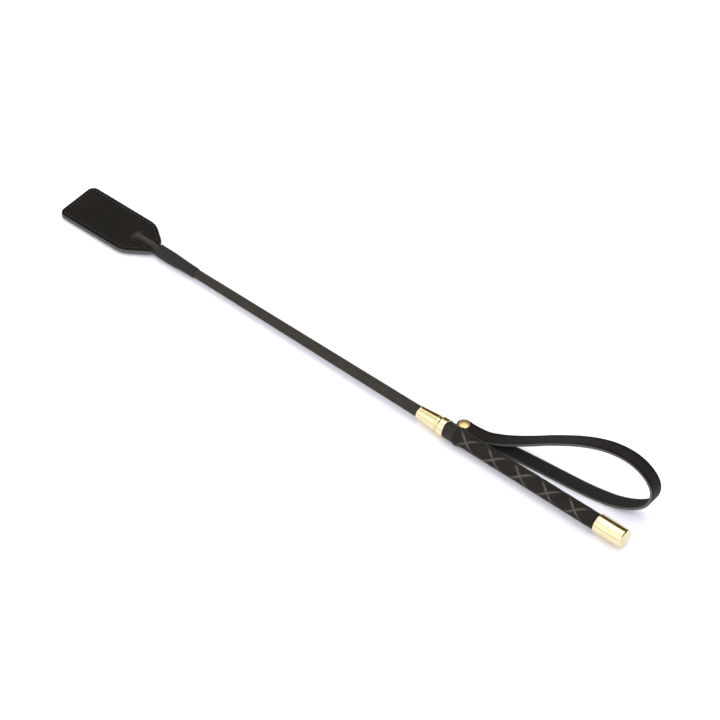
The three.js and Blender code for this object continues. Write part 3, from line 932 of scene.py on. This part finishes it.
class CROP_OT_shaft(Operator):
    """Make the braided cover of the shaft and the matt sleeve over the flap's tails"""

    bl_idname = "crop.shaft"
    bl_label = "Shaft"

    def execute(self, context):
        handle = context.scene.crop.handle
        colours = context.scene.crop.colours
        self.braid(handle, braid_material(tuple(colours.braid)))
        self.sleeve(sleeve_material(tuple(colours.sleeve)))
        return {"FINISHED"}

    @staticmethod
    def braid(handle, material):
        """A tube whose skin is woven: strands wind both ways, each over two and under two of the others.
        With a and b counting strands of each way, a strand's height is a half round across its width,
        raised where it passes over and lowered where it passes under."""
        first, last = AXIS.span("shaft_braid")
        shown = AXIS.span("ferrule")[0] + 2
        front, back = 4.25, radius("shaft_braid")               # the cover's radius at each end
        count = handle.carriers
        advance = 2 * math.pi * (front + back) / 2 / count / math.tan(math.radians(handle.braid_angle))
        s = np.concatenate([np.linspace(first, shown, 700), np.linspace(shown, last, 12)[1:]])[:, None]
        angle = np.linspace(0, 2 * math.pi, count * 8, endpoint=False)[None, :]
        turn = count * angle / (2 * math.pi)
        a, b = turn + (s - first) / advance, turn - (s - first) / advance
        across_a, across_b = (np.sqrt(np.clip(1 - (2 * (x % 1) - 1) ** 2, 0, 1)) for x in (a, b))
        over = np.sin(math.pi / 2 * (np.floor(a) + np.floor(b)) + math.pi / 4) > 0
        lie = np.where(over, 0.35, -0.35)
        height_a, height_b = across_a + lie, across_b - lie
        relief = np.maximum(height_a, height_b) / 1.35
        skin = np.interp(s, [first, shown], [front, back])
        r = skin + handle.braid_relief * (relief - 0.75)
        outer = AXIS.place(s, r * np.cos(angle), r * np.sin(angle))
        bore_s = np.array([last, first])[:, None]
        bore_r = np.array([4.65, 3.65])[:, None]
        bore = AXIS.place(bore_s, bore_r * np.cos(angle), bore_r * np.sin(angle))
        points = np.concatenate([outer, bore]).reshape(-1, 3)
        rows, columns = len(s) + 2, angle.shape[1]
        faces = grid_faces(rows, columns, closed_rows=True, closed_columns=True)
        tail = np.zeros((2, columns))
        attributes = {
            # relief also carries painted light and shade to the braid's finish: high strands lighter, hollows
            # darker
            "relief": np.concatenate([relief, tail]),
            "strand": np.concatenate([height_a > height_b, tail]),
        }
        chart = np.stack(np.broadcast_arrays(turn, (s - first) / advance), axis=-1)
        chart = np.concatenate([chart, np.zeros((2, columns, 2))])
        piece = make_piece("shaft_braid_cover", points, faces, material, attributes, chart)
        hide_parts("shaft_braid")
        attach(piece, "crop")

    @staticmethod
    def sleeve(material):
        """A thin tube, thick over the leather tails and closing onto the braid, with rounded ends."""
        first, last = AXIS.span("neck_sleeve")
        front = radius("neck_sleeve")
        outline = [
            (first, front, 0.35), (first + 16, front, 6.0), (last - 14, 5.4, 8.0), (last, 5.0, 0.2),
            (last, 4.56, 0.05), (last - 4, 4.56, 0), (first + 16, 5.7, 0), (first, 5.7, 0.1),
        ]
        piece = turned("neck_sleeve_cover", outline, AXIS.place, material)
        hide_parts("neck_sleeve")
        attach(piece, "crop")


# ---- the handle ------------------------------------------------------------------------------------

CORE_BORE = 6.3                       # radius of every bore over the grip's core


class CROP_OT_brass(Operator):
    """Make the tapering ferrule, the bead ring behind it and the butt cap"""

    bl_idname = "crop.brass"
    bl_label = "Brass fittings"

    def execute(self, context):
        colour = tuple(context.scene.crop.colours.brass)
        material = brass_material("polished_brass", colour, 0.08, (0.05, 1.0, 1.0))
        first, last = AXIS.span("ferrule")
        back = radius("ferrule")
        ferrule = [
            (first, 5.95, 0.2), (first, 6.5, 0.25), (first + 0.9, 6.7, 0.3), (first + 1.3, 6.55, 0.3),
            (last - 3.2, back - 0.15, 0.5), (last - 2.9, back, 0.2), (last - 2.2, back, 0.25),
            (last - 1.9, back - 0.6, 0.15), (last - 0.6, back - 0.6, 0.15), (last - 0.3, back - 0.1, 0.15),
            (last, back - 0.1, 0.1), (last, 5.75, 0), (first + 1.5, 5.75, 0),
        ]
        self.add("ferrule_tube", ferrule, material, "ferrule", True)
        first, last = AXIS.span("ferrule_ring")
        edge = radius("ferrule_ring")
        ring = [(first, edge, 1.5), (last, edge, 1.5), (last, CORE_BORE, 0), (first, CORE_BORE, 0)]
        self.add("ferrule_bead_ring", ring, material, "ferrule_ring", True)
        first, last = AXIS.span("butt_cap")
        edge = radius("butt_cap")
        cap = [
            (last, 0, 0), (last, edge, 2.2), (first + 1.7, edge, 0.4), (first + 1.4, edge - 0.22, 0.2),
            (first + 1.1, edge, 0.2), (first, edge, 0.5), (first, CORE_BORE, 0.3),
            (last - 4, CORE_BORE, 0), (last - 4, 0, 0),
        ]
        self.add("butt_cap_shell", cap, material, "butt_cap", False)
        return {"FINISHED"}

    @staticmethod
    def add(name, outline, material, node, closed):
        piece = turned(name, outline, AXIS.place, material, closed, 128)
        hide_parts(node)
        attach(piece, "crop")


class CROP_OT_grip(Operator):
    """Make the grip's leather, with its rolled front edge and the crossing crease lines"""

    bl_idname = "crop.grip"
    bl_label = "Grip"

    def execute(self, context):
        handle = context.scene.crop.handle
        colours = context.scene.crop.colours
        base = tuple(colours.grip)
        masks = [("crease", tuple(colours.crease), 0.62)]
        material = leather_material("grip_leather", base, tuple(colours.edge), 0.5, 0.0010, masks, 0.1)
        first, last = AXIS.span("grip_leather")
        front_edge = first + np.array([0, 0.1, 0.25, 0.45])
        back_edge = last - np.array([0.25, 0.1, 0])
        s = np.concatenate([front_edge, np.linspace(first + 0.8, last - 0.5, 440), back_edge])[:, None]
        angle = np.linspace(0, 2 * math.pi, 168, endpoint=False)[None, :]
        r, crease = self.skin(handle, s, angle, first, last)
        outer = AXIS.place(s, r * np.cos(angle), r * np.sin(angle))
        bore_s = np.array([last, first])[:, None]
        bore = AXIS.place(bore_s, CORE_BORE * np.cos(angle), CORE_BORE * np.sin(angle))
        points = np.concatenate([outer, bore]).reshape(-1, 3)
        columns = angle.shape[1]
        faces = grid_faces(len(s) + 2, columns, closed_rows=True, closed_columns=True)
        tail = np.zeros((2, columns))
        rim = np.broadcast_to(np.where(s < first + 0.2, 1.0, 0.0), crease.shape)
        attributes = {"crease": np.concatenate([crease, tail]), "cut_edge": np.concatenate([rim, tail + 1])}
        piece = make_piece("grip_leather_cover", points, faces, material, attributes)
        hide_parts("grip_leather")
        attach(piece, "crop")
        return {"FINISHED"}

    @staticmethod
    def skin(handle, s, angle, first, last):
        """The leather's radius and its crease lines. The radius is a slow taper, a bell for the rolled
        front edge, soft lumps, a shallow lapped seam underneath and the creases. The creases are two
        helices each way, so that they cross on the near and on the far side."""
        front = 7.4                                             # the radius there, without the rolled edge
        body = front + 0.3 * (s - first) / (last - first)
        lip = 1.6 * bell(s - first - 3.4, 3.15)
        lumps = 0.05 * np.sin(s * 0.31 + 2 * angle) + 0.04 * np.sin(s * 0.53 - 3 * angle + 1)
        row = math.pi - math.radians(handle.lattice_angle)      # the near crossings, round from the far side
        phase = 2 * math.pi * (s - handle.lattice_start) / handle.lattice_pitch
        pitch_angle = math.atan2(2 * math.pi * front, handle.lattice_pitch)
        lattice = np.zeros(np.broadcast_shapes(s.shape, angle.shape))
        for way in (1, -1):
            off = (phase + way * (angle - row) + math.pi / 2) % math.pi - math.pi / 2
            lattice = np.maximum(lattice, bell(off * front * math.cos(pitch_angle), handle.crease_width))
        from_row = np.abs((angle - row + math.pi / 2) % math.pi - math.pi / 2)
        fade = 1 - 0.85 * smoothstep(math.radians(34), math.radians(66), from_row)
        fade = fade * (0.86 + 0.14 * np.sin(s * 0.47 + 5 * angle))
        fade = fade * smoothstep(first + 2, first + 5, s) * (1 - smoothstep(last - 5, last - 2, s))
        crease = lattice * fade
        seam_off = (angle - 1.5 * math.pi) * front
        seam = -0.22 * bell(seam_off, 0.45) + 0.10 * bell(seam_off - 1.2, 0.9)
        from_end = np.minimum(s - first, last - s)
        ends = 0.5 - np.sqrt(np.clip(0.25 - np.clip(0.5 - from_end, 0, 0.5) ** 2, 0, 1))
        return body + lip + lumps + seam - handle.crease_depth * crease - ends, crease


# ---- the wrist strap -------------------------------------------------------------------------------

RIVET = (460.7, 15.7)                 # the rivet's centre in the route's own frame
STRAP_ROUTE = np.array([
    [RIVET[0] - 6.75, RIVET[1], 5.35], [RIVET[0], RIVET[1], 5.35], [472, 15.8, 5.2],
    [484, 17.3, 5.2], [498, 21.6, 8.0], [512, 26.3, 13.0], [526, 30.7, 19.6], [540, 34.4, 27.6],
    [555, 36.9, 36.4], [570, 38.4, 45.3], [586, 39.3, 53.6], [601, 40.0, 59.4], [615, 40.4, 62.2],
    [627, 40.5, 62.3], [638, 40.6, 58.8], [646.5, 40.6, 52.4], [651.3, 40.6, 44.0], [652, 40.5, 34.5],
    [649, 40.3, 24.0], [641.5, 39.3, 14.6], [630, 37.2, 7.6], [616, 34.6, 3.2], [601, 32.0, 1.7],
    [584, 29.4, 1.5], [553, 26.2, 1.5], [520, 22.8, 1.5], [491, 18.6, 1.6], [472, 15.9, 1.8],
    [RIVET[0], RIVET[1], 1.85], [RIVET[0] - 6.75, RIVET[1], 1.85],
])


def smooth_route(points, count):
    """Evenly spaced points on the centripetal Catmull-Rom curve through the given ones, its tangents
    there and their distances along it. Each stretch is a cubic whose end slopes come from the square
    roots of the distances between points."""
    padded = np.concatenate([[2 * points[0] - points[1]], points, [2 * points[-1] - points[-2]]])
    knots = np.sqrt(np.linalg.norm(np.diff(padded, axis=0), axis=1))[:, None]
    p0, p1, p2, p3 = padded[:-3], padded[1:-2], padded[2:-1], padded[3:]
    k0, k1, k2 = knots[:-2], knots[1:-1], knots[2:]
    m1 = ((p1 - p0) / k0 - (p2 - p0) / (k0 + k1) + (p2 - p1) / k1) * k1
    m2 = ((p2 - p1) / k1 - (p3 - p1) / (k1 + k2) + (p3 - p2) / k2) * k1
    t = np.linspace(0, 1, 60, endpoint=False)[None, :, None]
    p1, p2, m1, m2 = (x[:, None, :] for x in (p1, p2, m1, m2))
    curve = (
        (2 * t**3 - 3 * t**2 + 1) * p1
        + (t**3 - 2 * t**2 + t) * m1
        + (3 * t**2 - 2 * t**3) * p2
        + (t**3 - t**2) * m2
    )
    curve = np.concatenate([curve.reshape(-1, 3), points[-1:]])
    travelled = np.concatenate([[0], np.cumsum(np.linalg.norm(np.diff(curve, axis=0), axis=1))])
    even = np.linspace(0, travelled[-1], count)
    spots = np.stack([np.interp(even, travelled, curve[:, k]) for k in range(3)], axis=-1)
    slopes = np.gradient(spots, axis=0)
    return spots, slopes / np.linalg.norm(slopes, axis=1, keepdims=True), even


def strip_section(half, thickness, count_face=13, corner=0.75):
    """A strip's cross-section as (across, out, kind) arrays, going round it: the outer face, the far
    edge, the inner face and the near edge, with rounded corners. kind is 0 on the outer face, 1 on a cut
    edge and 2 on the inner face."""
    rise, flat = thickness / 2, half - corner
    turn = np.linspace(0, math.pi / 2, 5)
    sine, cosine = corner * np.sin(turn), corner * np.cos(turn)
    face = np.linspace(-1, 1, count_face) * flat
    across = [face, flat + sine[1:], flat + cosine, face[::-1][1:], -flat - sine[1:], -flat - cosine[:-1]]
    out = [
        np.full(count_face, rise), rise - corner + cosine[1:], -rise + corner - sine,
        np.full(count_face - 1, -rise), -rise + corner - cosine[1:], rise - corner + sine[:-1],
    ]
    kind = [np.full(len(run), value) for run, value in zip(across, (0, 1, 1, 2, 1, 1))]
    return tuple(np.concatenate(part) for part in (across, out, kind))


def strip_faces(rows, columns):
    """Faces of a strip made of sections of that many points, with a cap over each end."""
    faces = grid_faces(rows, columns, closed_columns=True).tolist()
    faces.append(list(range(columns))[::-1])
    faces.append(list(range((rows - 1) * columns, rows * columns)))
    return faces


class CROP_OT_strap(Operator):
    """Make the looped wrist strap, both ends on the rivet"""

    bl_idname = "crop.strap"
    bl_label = "Wrist strap"

    def execute(self, context):
        handle = context.scene.crop.handle
        colours = context.scene.crop.colours
        # the second mask paints a highlight: the middle of the strap's outer face is painted lighter
        masks = [("flesh", tuple(colours.flesh), 0.75), ("worn", shade(tuple(colours.strap), 2.2), 0.5)]
        material = leather_material(
            "strap_leather", tuple(colours.strap), tuple(colours.edge), 0.44, 0.0007, masks, 0.09
        )
        points, faces, attributes = self.strip(handle)
        piece = make_piece("wrist_strap_leather", points, faces, material, attributes)
        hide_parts("wrist_strap")
        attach(piece, "strap")
        return {"FINISHED"}

    @staticmethod
    def strip(handle):
        """The section carried along the route, level across, thinner at the tails, whose ends are round:
        there the half width follows a circle about the rivet."""
        spots, along, travelled = smooth_route(STRAP_ROUTE, 420)
        length = travelled[-1]
        half = handle.strap_width / 2
        end = half * (1 - np.cos(np.linspace(0.06, math.pi / 2, 14)))
        plain = travelled[(travelled > half + 0.5) & (travelled < length - half - 0.5)]
        stations = np.concatenate([end, plain, length - end[::-1]])
        spots = np.stack([np.interp(stations, travelled, spots[:, k]) for k in range(3)], axis=-1)
        along = np.stack([np.interp(stations, travelled, along[:, k]) for k in range(3)], axis=-1)
        along /= np.linalg.norm(along, axis=1, keepdims=True)
        level = np.array([0.0, 1.0, 0.0])
        across = level - along * (along @ level)[:, None]
        across /= np.linalg.norm(across, axis=1, keepdims=True)
        out = np.cross(along, across)
        from_tail = np.minimum(stations, length - stations)
        ahead = np.clip(half - from_tail, 0, half)
        width = np.sqrt(half * half - ahead * ahead) / half
        full = smoothstep(14, 26, from_tail)
        thick = handle.tail_thickness + (handle.strap_thickness - handle.tail_thickness) * full
        a, o, kind = strip_section(half, 1.0, corner=0.27)
        creased = (kind == 0) & (np.abs(np.abs(a) - half + 1.7) < 0.3)      # a line beside each edge
        o = o - 0.06 * creased
        ring = (
            spots[:, None, :]
            + across[:, None, :] * (a[None, :] * width[:, None])[..., None]
            + out[:, None, :] * (o[None, :] * thick[:, None])[..., None]
        )
        points = ring.reshape(-1, 3)
        faces = strip_faces(len(stations), len(a))
        base, top = corners("rivet_base")
        middle = (base + top) / 2
        shift = np.array([middle[0] / MM - RIVET[0], middle[1] / MM - RIVET[1], base[2] / MM - 0.25])
        cut = np.broadcast_to((kind == 1) * 1.0, ring.shape[:2])
        flesh = np.broadcast_to((kind == 2) * 1.0, ring.shape[:2])
        # painted highlight: the middle half of the outer face
        worn = np.broadcast_to(((kind == 0) & (np.abs(a) < half * 0.5)) * 0.5, ring.shape[:2])
        return (points + shift) * MM, faces, {"cut_edge": cut, "flesh": flesh, "worn": worn}


class CROP_OT_fixing(Operator):
    """Make the collar band with its tab, and the rivet that holds the strap to it"""

    bl_idname = "crop.fixing"
    bl_label = "Collar and rivet"

    def execute(self, context):
        colours = context.scene.crop.colours
        self.collar(colours, context.scene.crop.handle.tail_thickness)
        self.rivet(colours)
        return {"FINISHED"}

    @staticmethod
    def collar(colours, tail):
        """A leather strip that starts as a flat tab under the rivet, runs in to the core and goes once
        round it: its path is a line and then an arc about the axis, and its section is a flat strip."""
        low, _ = corners("strap_collar")
        band_first, band_last = AXIS.station(low[0]), AXIS.span("grip_leather")[0] - 0.3
        middle_x, half = (band_first + band_last) / 2, (band_last - band_first) / 2
        core = AXIS.place(middle_x, 0.0, 0.0)
        rivet = centre("rivet_cap")
        tab_thick, band_thick = 1.1, 1.8
        bend = CORE_BORE + band_thick / 2
        tab_y = (rivet[1] - core[1]) / MM
        strap_above_foot = 1.0                                  # with the gap under the tab
        tab_z = (corners("rivet_base")[0][2] - core[2]) / MM + strap_above_foot + tail + tab_thick / 2
        reach = tab_y + 6.15                                    # to the tab's round end, past the rivet
        join = math.asin(np.clip(tab_z / bend, -1, 1))
        wrap = math.radians(338)
        arc = np.linspace(join, join + wrap, 96)
        line_y = np.linspace(reach, bend * math.cos(join), 34)[:-1]
        on_tab = len(line_y)
        y = np.concatenate([line_y, bend * np.cos(arc)])
        z = np.concatenate([np.full(on_tab, bend * math.sin(join)), bend * np.sin(arc)])
        centre_line = np.stack([y, z], axis=-1)
        kernel = np.array([1, 4, 6, 4, 1]) / 16
        for _ in range(3):
            padded = np.pad(centre_line, ((2, 2), (0, 0)), "edge")
            centre_line = np.stack([np.convolve(padded[:, k], kernel, "valid") for k in range(2)], axis=-1)
        slope = np.gradient(centre_line, axis=0)
        slope /= np.linalg.norm(slope, axis=1, keepdims=True)
        out = np.stack([slope[:, 1], -slope[:, 0]], axis=-1)
        along_tab = smoothstep(bend, tab_y, centre_line[:, :1]) * (np.arange(len(y)) < on_tab)[:, None]
        ahead = np.clip(half - np.abs(reach - centre_line[:, :1]), 0, half) * (along_tab > 0)
        width = np.sqrt(np.clip(half * half - ahead * ahead, 0.01, None)) / half
        thick = band_thick + (tab_thick - band_thick) * smoothstep(bend - 1.5, bend + 2.5, centre_line[:, :1])
        a, o, kind = strip_section(half, 1.0, corner=0.3)
        x = middle_x + along_tab * (AXIS.station(rivet[0]) - middle_x) + a[None, :] * width
        ring_y = centre_line[:, :1] + out[:, :1] * o[None, :] * thick
        ring_z = centre_line[:, 1:] + out[:, 1:] * o[None, :] * thick
        points = AXIS.place(x, ring_y, ring_z).reshape(-1, 3)
        faces = strip_faces(len(y), len(a))
        edge = shade(tuple(colours.edge), 0.5)
        material = leather_material("collar_leather", tuple(colours.strap), edge, 0.36, 0.0007)
        cut = np.broadcast_to((kind == 1) * 1.0, (len(y), len(a)))
        piece = make_piece("strap_collar_band", points, faces, material, {"cut_edge": cut})
        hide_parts("strap_collar")
        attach(piece, "crop")

    @staticmethod
    def rivet(colours):
        """A domed cap with a rolled rim on its stem, and the flat base with the tube that takes it."""
        material = brass_material("rivet_brass", tuple(colours.rivet), 0.24, (1.0, 1.0, 0.2))
        middle = centre("rivet_cap")

        def upright(height, x, y):
            height, x, y = np.broadcast_arrays(height, x, y)
            return np.stack([middle[0] + x * MM, middle[1] + y * MM, height * MM], axis=-1)

        low, high = (corner[2] / MM for corner in corners("rivet_cap"))
        edge = radius("rivet_cap")
        face = high - 1.15
        cap = [
            (low, 0, 0), (low, 0.65, 0.1), (face, 0.65, 0), (face, edge - 0.3, 0.1), (face + 0.3, edge, 0.25),
            (face + 0.62, edge - 0.25, 0.3), (face + 0.66, edge - 0.95, 0.25), (face + 0.95, edge - 1.7, 1.2),
            (face + 1.12, 1.8, 3.0), (face + 1.15, 0, 0),
        ]
        piece = turned("rivet_cap_dome", cap, upright, material, False)
        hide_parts("rivet_cap")
        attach(piece, "crop")
        low, high = (corner[2] / MM for corner in corners("rivet_base"))
        edge = radius("rivet_base")
        base = [
            (low, 0.95, 0), (low, edge - 0.3, 0.15), (low + 0.2, edge, 0.15), (low + 0.4, edge - 0.2, 0.08),
            (low + 0.4, 1.7, 0.1), (high, 1.7, 0.15), (high, 0.95, 0.1),
        ]
        piece = turned("rivet_base_tube", base, upright, material, True)
        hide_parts("rivet_base")
        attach(piece, "crop")


class CROP_OT_inside(Operator):
    """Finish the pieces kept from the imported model: the rod, the grip's core and the whipping"""

    bl_idname = "crop.inside"
    bl_label = "Inner pieces"

    def execute(self, context):
        thread = thread_material(tuple(context.scene.crop.colours.thread))
        finishes = {"core_rod": rod_material(), "grip_core": wood_material(), "tail_whipping": thread}
        for node, material in finishes.items():
            slots = frame["nodes"][node].data.materials
            slots.clear()
            slots.append(material)
        return {"FINISHED"}


# ---- floor, light and camera -----------------------------------------------------------------------


class CROP_OT_stage(Operator):
    """Make the pale floor, the soft studio light and the camera"""

    bl_idname = "crop.stage"
    bl_label = "Stage"

    def execute(self, context):
        self.floor()
        self.world(context.scene)
        self.lights()
        self.camera(context.scene)
        context.scene.view_settings.view_transform = "Standard"
        return {"FINISHED"}

    @staticmethod
    def floor():
        size = 30.0
        points = [[-size, -size, 0], [size, -size, 0], [size, size, 0], [-size, size, 0]]
        finish = {"Base Color": (0.93, 0.935, 0.95, 1), "Roughness": 0.9, "Specular IOR Level": 0.0}
        material = finish_material("pale_floor", lambda look: finish)
        mesh = bpy.data.meshes.new("floor")
        mesh.from_pydata(points, [], [[0, 1, 2, 3]])
        mesh.materials.append(material)
        floor = bpy.data.objects.new("floor", mesh)
        bpy.context.scene.collection.objects.link(floor)

    @staticmethod
    def world(scene):
        """An even pale surround. Only in reflections it has the shape of a studio: on the near side pale
        walls and a bright ceiling, on the far side a dark room under the edge of the ceiling."""
        world = bpy.data.worlds.new("studio")
        world.use_nodes = True
        look = Look(world.node_tree)
        _, y, z = look.parts(look.node("ShaderNodeTexCoord").outputs["Generated"])
        near = [(0.0, (0.50, 0.49, 0.46)), (0.10, (0.55, 0.54, 0.52)), (0.28, (1.0, 1.0, 1.0)),
                (0.55, (1.0, 1.0, 1.0)), (0.78, (0.80, 0.80, 0.80)), (0.90, (1.0, 1.0, 1.0))]
        far = [(0.0, (0.045, 0.030, 0.006)), (0.34, (0.055, 0.038, 0.009)), (0.68, (0.13, 0.095, 0.04)),
               (0.78, (0.48, 0.43, 0.34)), (0.88, (0.85, 0.85, 0.85)), (0.95, (1.0, 1.0, 1.0))]
        walls = [
            look.node("ShaderNodeValToRGB", {"stops": stops}, {"Fac": z}).outputs[0] for stops in (near, far)
        ]
        studio = look.mix(y.above(-0.42, 0.0), *walls)
        reflected = look.node("ShaderNodeLightPath").outputs["Is Glossy Ray"]
        colour = look.mix(reflected, (0.78, 0.78, 0.835), studio)
        background = look.node("ShaderNodeBackground", inputs={"Color": colour, "Strength": 1.7})
        look.node("ShaderNodeOutputWorld", inputs={"Surface": background.outputs[0]})
        scene.world = world

    @staticmethod
    def lights():
        """A broad softbox high behind the crop, and a weaker one on the near side."""
        boxes = [("key", (-0.5, 1.0, 3.0), 2.6, 22.0), ("fill", (0.6, -2.2, 2.2), 1.8, 6.0)]
        for name, position, size, power in boxes:
            light = bpy.data.lights.new(name, "AREA")
            light.shape = "SQUARE"
            light.size = size
            light.energy = power
            lamp = bpy.data.objects.new(name, light)
            lamp.location = position
            x, y, z = position
            pitch = math.atan2(math.hypot(x, y), z)
            lamp.rotation_euler = (pitch, 0, math.atan2(x, -y))
            bpy.context.scene.collection.objects.link(lamp)

    @staticmethod
    def camera(scene):
        """A long lens from above on the near side, looking across the crop."""
        target = np.array([0.00998, 0.00707, 0.00176])
        azimuth, elevation, distance = math.radians(40.33), math.radians(47.49), 3.042
        level = math.cos(elevation)
        back = np.array([math.sin(azimuth) * level, -math.cos(azimuth) * level, math.sin(elevation)])
        lens = bpy.data.cameras.new("camera")
        lens.lens = 167.6
        lens.sensor_width = 36.0
        camera = bpy.data.objects.new("camera", lens)
        camera.location = target + back * distance
        camera.rotation_euler = (math.pi / 2 - elevation, 0, azimuth)
        bpy.context.scene.collection.objects.link(camera)
        scene.camera = camera


# ---- panel, registration and main ------------------------------------------------------------------

PIECE_OPERATORS = (
    CROP_OT_stage, CROP_OT_inside, CROP_OT_shaft, CROP_OT_flap, CROP_OT_stitching, CROP_OT_brass,
    CROP_OT_grip, CROP_OT_strap, CROP_OT_fixing,
)


class CROP_PT_sidebar(Panel):
    """Lists the crop's operators"""

    bl_idname = "CROP_PT_sidebar"
    bl_label = "Riding Crop"
    bl_space_type = "VIEW_3D"
    bl_region_type = "UI"
    bl_category = "Crop"

    def draw(self, context):
        for operator in PIECE_OPERATORS:
            self.layout.operator(operator.bl_idname)


CLASSES = (CropFlapSizes, CropHandleSizes, CropColours, CropSettings, *PIECE_OPERATORS, CROP_PT_sidebar)


def register():
    for cls in CLASSES:
        bpy.utils.register_class(cls)
    bpy.types.Scene.crop = PointerProperty(type=CropSettings)


def unregister():
    del bpy.types.Scene.crop
    for cls in reversed(CLASSES):
        bpy.utils.unregister_class(cls)


def main():
    register()
    for operator in PIECE_OPERATORS:
        group, name = operator.bl_idname.split(".")
        getattr(getattr(bpy.ops, group), name)()


if __name__ == "__main__":
    main()
